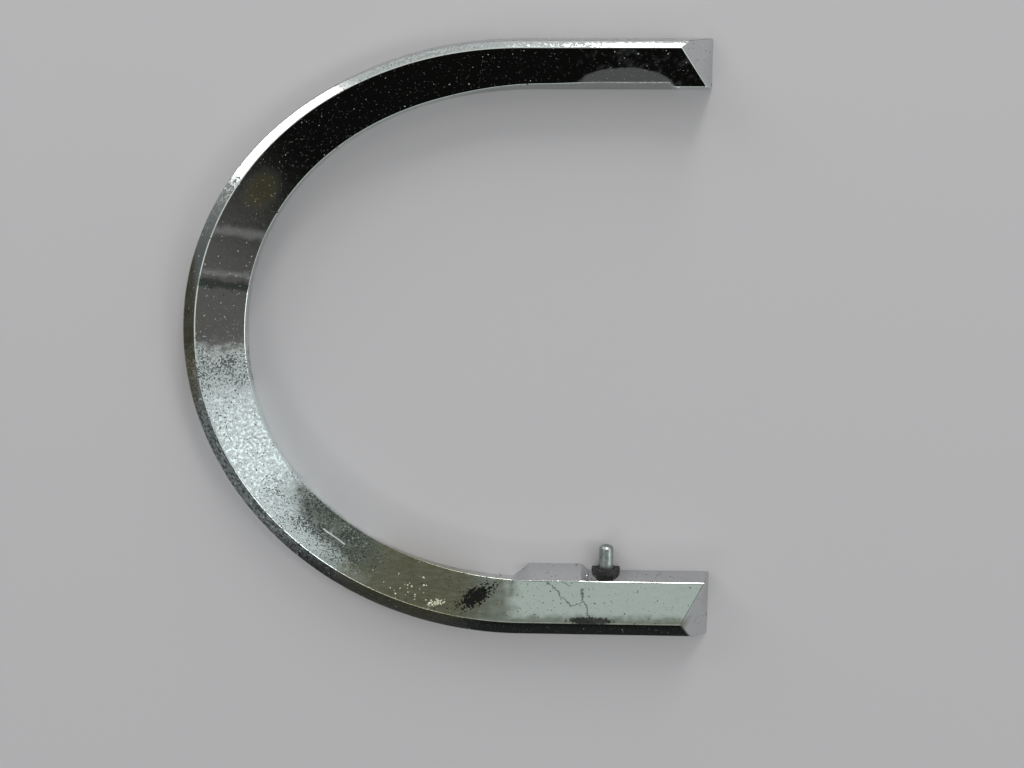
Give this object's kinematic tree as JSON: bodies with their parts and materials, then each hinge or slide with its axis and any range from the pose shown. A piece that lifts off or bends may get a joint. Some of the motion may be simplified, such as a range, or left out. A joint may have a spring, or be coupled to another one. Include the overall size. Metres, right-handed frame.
{
  "type": "letter plate",
  "caption": "C-shaped chromed bar lying face up, with a sloped outer side, slant-cut ends and a steel pin on its lower arm.",
  "frame": {"origin": "on the back, at the centre of the overall width and height", "axes": "+X out of the open side of the C, +Y to the upper arm, +Z out of the polished face"},
  "size_m": [0.1586, 0.1778, 0.0075],
  "materials": {
    "chrome": "mirror, pitted and stained",
    "steel": "turned, dull",
    "solder": "blackened"
  },
  "bodies": {
    "root": {"bow": "chrome", "pin": "steel", "solder": "solder"}
  },
  "joints": []
}
